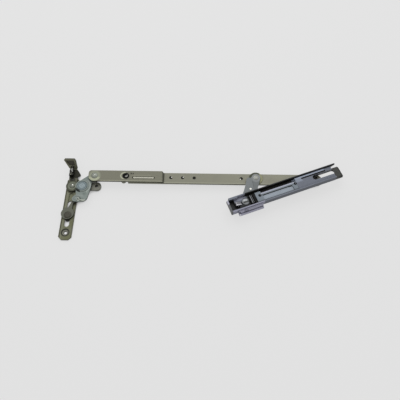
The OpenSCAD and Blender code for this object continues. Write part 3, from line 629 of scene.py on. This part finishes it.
# %% Cast wave of the foot
wave = bmesh.new()
bends = [Vector(p) for p in ((8.4, 51.0), (10.6, 51.5), (12.7, 50.2), (14.0, 48.2), (16.0, 47.1), (18.4, 47.0),
                             (20.3, 47.9))]
path = [a.lerp(b, t / 4) for a, b in zip(bends, bends[1:]) for t in range(4)] + bends[-1:]
foot_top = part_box("swing_lever")[1].z / MM - 0.7
half_round = [math.pi * k / 6 for k in range(7)]
rows = []
for i, point in enumerate(path):
    ahead = (path[min(i + 1, len(path) - 1)] - path[max(i - 1, 0)]).normalized()
    wide = 0.75 * min(1.0, 0.35 + i / 5, 0.35 + (len(path) - 1 - i) / 5)
    rows.append([corner(wave, point.x - ahead.y * wide * math.cos(t), point.y + ahead.x * wide * math.cos(t),
                        foot_top - 0.15 + wide * math.sin(t)) for t in half_round])
loft(wave, rows)
# The wave wears the colour of the painted highlights on the foot.
piece("foot_wave", wave, "cast_highlight_blue", "lever")

# %% [markdown]
# A rivet end is peened, which leaves a raised rim round a small hollow. Each rim is a closed profile revolved
# round the pivot, sunk into the rivet's own head.

# %% Peened rims
for name, node, joint, body, r in (("arm_rivet_rim", "arm_rivet", "arm_turn", "lever", 2.4),
                                   ("lever_rivet_rim", "lever_rivet", "tilt_open", "bar", 2.0)):
    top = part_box(node)[1].z / MM
    rim = bmesh.new()
    lathe(rim, in_mm(pivots[joint]), [(r - 0.5, top - 0.5), (r - 0.3, top - 0.05), (r + 0.2, top - 0.02),
                                      (r + 0.6, top - 0.5)], True)
    piece(name, rim, "bright_steel", body)

# %% [markdown]
# The jaw's near edge is rolled outwards, and the roll shows as a curl at its left end. A section shaped like the
# letter C is swept along the carrier: an outer and an inner arc, joined along both edges and closed at both ends.


# %% Rolled lip of the jaw
def carrier_point(u, v, z):
    turn = math.radians(lean)
    x, y = u * math.cos(turn) - v * math.sin(turn), u * math.sin(turn) + v * math.cos(turn)
    return bolt + Vector((x, y, z)) * MM


lip = bmesh.new()
curl_v, curl_z, steps = -14.7, 11.1, 18
arc = [math.radians(30 + 300 * i / steps) for i in range(steps + 1)]
rows = [[[lip.verts.new(carrier_point(u, curl_v + r * math.cos(t), curl_z + r * math.sin(t))) for t in arc]
         for r in (1.9, 1.25)] for u in (-15.0, -5.0, 8.0, 21.0)]
for (out_a, in_a), (out_b, in_b) in zip(rows, rows[1:]):
    for i in range(steps):
        lip.faces.new((out_a[i], out_a[i + 1], out_b[i + 1], out_b[i]))
        lip.faces.new((in_a[i], in_a[i + 1], in_b[i + 1], in_b[i]))
    for i in (0, steps):
        lip.faces.new((out_a[i], in_a[i], in_b[i], out_b[i]))
for outer, inner in (rows[0], rows[-1]):
    for i in range(steps):
        lip.faces.new((outer[i], outer[i + 1], inner[i + 1], inner[i]))
piece("jaw_lip", lip, "jaw_zinc", "carrier")

# %% [markdown]
# In the head's slot a key, painted light as a highlight, runs from pin to pin. It belongs to the bar, so it shifts
# when the arm's length is set; its ends taper to leave room for the slot's round ends.

# %% Slot key
bar_top, head_top = [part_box(name)[1].z / MM for name in ("arm_bar", "arm_head")]
slot_y = 82.6
key = bmesh.new()
crown = [(-1.45, 0.0), (-1.45, 0.75), (-0.9, 1.0), (0.9, 1.0), (1.45, 0.75), (1.45, 0.0)]
taper = [(86.75, 0.45), (87.2, 0.8), (88.0, 1.0), (101.75, 1.0), (115.5, 1.0), (116.3, 0.8), (116.75, 0.45)]
loft(key, [[corner(key, x, slot_y + wide * y, bar_top + t * (head_top - bar_top)) for y, t in crown]
           for x, wide in taper])
piece("slot_key", key, "slot_highlight_olive", "bar", 0.15)

# %% [markdown]
# The arm's four spare holes hold a dark fill with a dished top, painted shade that darkens them, and three of them
# the end of a pin, painted light as a highlight. Both are revolved profiles, a little smaller than the holes.

# %% Filled holes
hole_y, low = 84.8, bar_top - 2.9
fill = [(2.2, low), (2.36, low + 0.2), (2.36, low + 2.2), (1.9, low + 2.0), (0.8, low + 1.2)]
pin_end = [(1.0, low + 0.5), (1.1, low + 2.2), (0.8, low + 2.75), (0.3, low + 2.85)]
shade_fill, studs = bmesh.new(), bmesh.new()
for x, stud in ((140.6, (1.1, 1.0)), (157.4, (1.1, 1.0)), (174.1, None), (241.4, (-1.1, -0.9))):
    lathe(shade_fill, (x, hole_y), fill, False, 28)
    if stud:
        lathe(studs, (x + stud[0], hole_y + stud[1]), pin_end, False, 20)
# The dark fill is painted shade in the holes.
piece("hole_shade_fill", shade_fill, "pin_black", "bar")
piece("hole_pins", studs, "painted_highlight_white", "bar")

# %% [markdown]
# The stay lies on a pale table, one large plane. What the camera and reflections see of it glows a little, less so
# close to the metal, which keeps a weak contact shadow; all other rays meet a plain pale surface, so the glow puts
# no light on the metal.


# %% Pale table
def pale_table(half=3.0, reach=9.5 * MM, drop=0.05 * MM):
    material, tree = empty_material("pale_table")
    open_sky = Wire.node(tree, "ShaderNodeAmbientOcclusion", {"samples": 16}, {"Distance": reach}, out="AO")
    lit = 0.3 + 0.7 * ((open_sky - 0.22) / 0.4).clamped()
    matt = {"Roughness": 0.9, "Specular IOR Level": 0.1}
    seen = Wire.node(tree, "ShaderNodeBsdfPrincipled", {}, {
        "Base Color": rgba((0.13,) * 3), "Emission Color": scaled(tree, (1, 1, 1), lit),
        "Emission Strength": 0.64, **matt})
    plain = Wire.node(tree, "ShaderNodeBsdfPrincipled", {}, {"Base Color": rgba((0.74,) * 3), **matt})
    camera_ray, glossy_ray, clear_ray = [Wire.node(tree, "ShaderNodeLightPath", out=name) for name in (
        "Is Camera Ray", "Is Glossy Ray", "Is Transmission Ray")]
    looked_at = (camera_ray + glossy_ray + clear_ray).clamped()
    shader = Wire.node(tree, "ShaderNodeMixShader", {}, {0: looked_at, 1: plain, 2: seen})
    Wire.node(tree, "ShaderNodeOutputMaterial", {}, {"Surface": shader})
    mesh = bpy.data.meshes.new("table")
    corners = [(-half, -half, 0), (half, -half, 0), (half, half, 0), (-half, half, 0)]
    mesh.from_pydata(corners, [], [(0, 1, 2, 3)])
    mesh.materials.append(material)
    made = bpy.data.objects.new("table", mesh)
    bpy.context.collection.objects.link(made)
    made.location.z = -drop
    return made


table = pale_table()
print("table of", len(table.data.polygons), "face, seen and plain surface mixed by ray")

# %% [markdown]
# An overcast window lights the stay: the world gives most of the light, and a broad softbox behind the stay gives
# direction, so that the arm throws a weak shadow towards the viewer.

# %% Overcast light
world = bpy.data.worlds.new("overcast")
bpy.context.scene.world = world
world.use_nodes = True
sky = world.node_tree.nodes["Background"].inputs
sky["Color"].default_value = (1, 1, 1, 1)
sky["Strength"].default_value = 0.72


def softbox(name, place, aim, size, power):
    light = bpy.data.lights.new(name, "AREA")
    light.shape, light.size, light.size_y, light.energy = "RECTANGLE", size[0], size[1], power
    made = bpy.data.objects.new(name, light)
    bpy.context.collection.objects.link(made)
    made.location = place
    made.rotation_mode = "QUATERNION"
    made.rotation_quaternion = (Vector(aim) - Vector(place)).to_track_quat("-Z", "Y")
    return made


window = softbox("window", (0.1, 0.75, 0.95), (0.19, 0.05, 0), (1.3, 0.8), 4.5)
print("world at", round(sky["Strength"].default_value, 2), "and a window of", window.data.energy, "W")

# %% [markdown]
# The camera stands in front of the stay and looks steeply down on it. Its place and lens were worked out from the
# picture, from where the plate's hole, the pivots and the ends of the carrier lie there. The focal length was
# found in pixels of a picture 400 pixels wide, and a 36 mm sensor turns it into millimetres.

# %% Camera
picture_px, focal_px, sensor_mm = 400, 464, 36.0
camera = bpy.data.objects.new("camera", bpy.data.cameras.new("camera"))
bpy.context.collection.objects.link(camera)
bpy.context.scene.camera = camera
camera.data.sensor_width = sensor_mm
camera.data.lens = sensor_mm * focal_px / picture_px
camera.location = Vector((188.0, -254.8, 581.9)) * MM
look_at = Vector((182.95, 50.35, 8.0)) * MM
camera.rotation_mode = "QUATERNION"
camera.rotation_quaternion = (look_at - camera.location).to_track_quat("-Z", "Y")
camera.data.clip_start = 0.01
bpy.context.scene.view_settings.view_transform = "Standard"
print("camera", [round(v, 4) for v in camera.location], "lens", round(camera.data.lens, 2))
